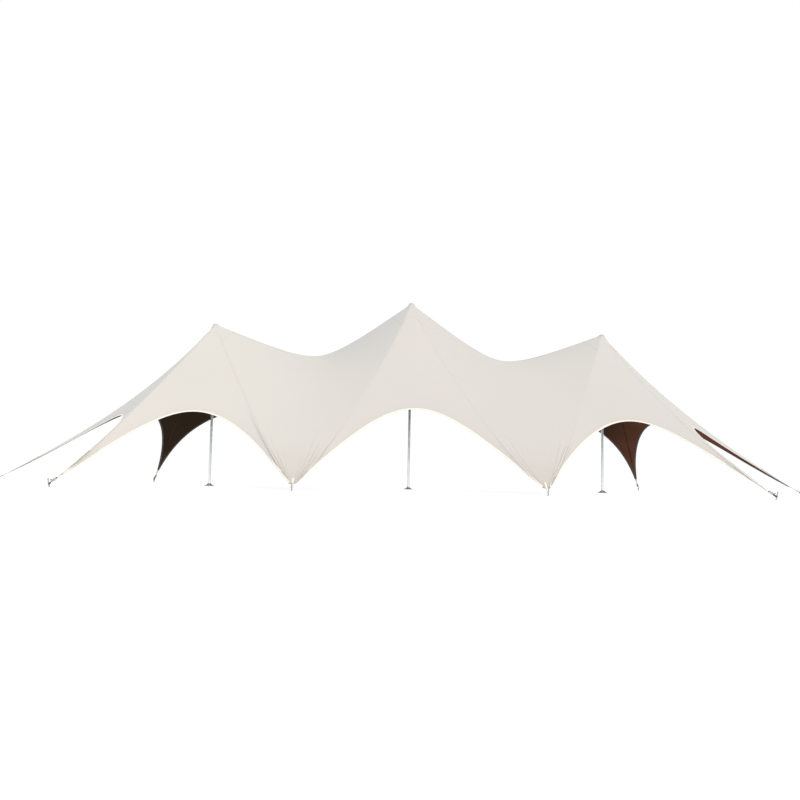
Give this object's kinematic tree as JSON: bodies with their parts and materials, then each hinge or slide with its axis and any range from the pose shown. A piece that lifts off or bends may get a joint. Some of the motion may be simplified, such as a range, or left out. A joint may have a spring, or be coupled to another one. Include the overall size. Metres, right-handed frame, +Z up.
{
  "type": "stretch tent",
  "caption": "Free-form stretch tent: a tensioned cloth canopy with pointed peaks over tall poles, open arched sides, and tie straps pulled down to ground stakes.",
  "frame": {"origin": "on the ground under the middle pole, at the centre of its base plate's bottom face", "axes": "+X along the row of poles, to the right seen from the front; +Y from the front to the back; +Z up"},
  "size_m": [24.7672, 10.0811, 5.752],
  "materials": {
    "canopy_cloth": "cream stretch weave with a matt face and a dark brown lining",
    "webbing": "dark woven polyester webbing",
    "galvanised_steel": "dull hot-dip galvanised",
    "pole_alloy": "satin mill finish",
    "rubber_head": "matt black moulded rubber"
  },
  "bodies": {
    "root": {"canopy_left_end_front": "canopy_cloth", "canopy_front_left": "canopy_cloth", "canopy_front_left_bay": "canopy_cloth", "canopy_front_middle": "canopy_cloth", "canopy_front_right_bay": "canopy_cloth", "canopy_front_right": "canopy_cloth", "canopy_right_end_front": "canopy_cloth", "canopy_right_end_back": "canopy_cloth", "canopy_back_right": "canopy_cloth", "canopy_back_right_bay": "canopy_cloth", "canopy_back_middle": "canopy_cloth", "canopy_back_left_bay": "canopy_cloth", "canopy_back_left": "canopy_cloth", "canopy_left_end_back": "canopy_cloth", "left_peak_patch": "canopy_cloth", "centre_peak_patch": "canopy_cloth", "right_peak_patch": "canopy_cloth", "tie_strap_left_end": "webbing", "stake_left_end": "galvanised_steel", "tie_strap_front_left": "webbing", "stake_front_left": "galvanised_steel", "tie_strap_front_inner_left": "webbing", "stake_front_inner_left": "galvanised_steel", "tie_strap_front_inner_right": "webbing", "stake_front_inner_right": "galvanised_steel", "tie_strap_front_right": "webbing", "stake_front_right": "galvanised_steel", "tie_strap_right_end": "webbing", "stake_right_end": "galvanised_steel", "tie_strap_back_right": "webbing", "stake_back_right": "galvanised_steel", "tie_strap_back_left": "webbing", "stake_back_left": "galvanised_steel", "left_pole_base_plate": "galvanised_steel", "left_pole_lower_tube": "pole_alloy", "left_pole_upper_tube": "pole_alloy", "left_pole_head": "rubber_head", "centre_pole_base_plate": "galvanised_steel", "centre_pole_lower_tube": "pole_alloy", "centre_pole_upper_tube": "pole_alloy", "centre_pole_head": "rubber_head", "right_pole_base_plate": "galvanised_steel", "right_pole_lower_tube": "pole_alloy", "right_pole_upper_tube": "pole_alloy", "right_pole_head": "rubber_head"}
  },
  "joints": []
}
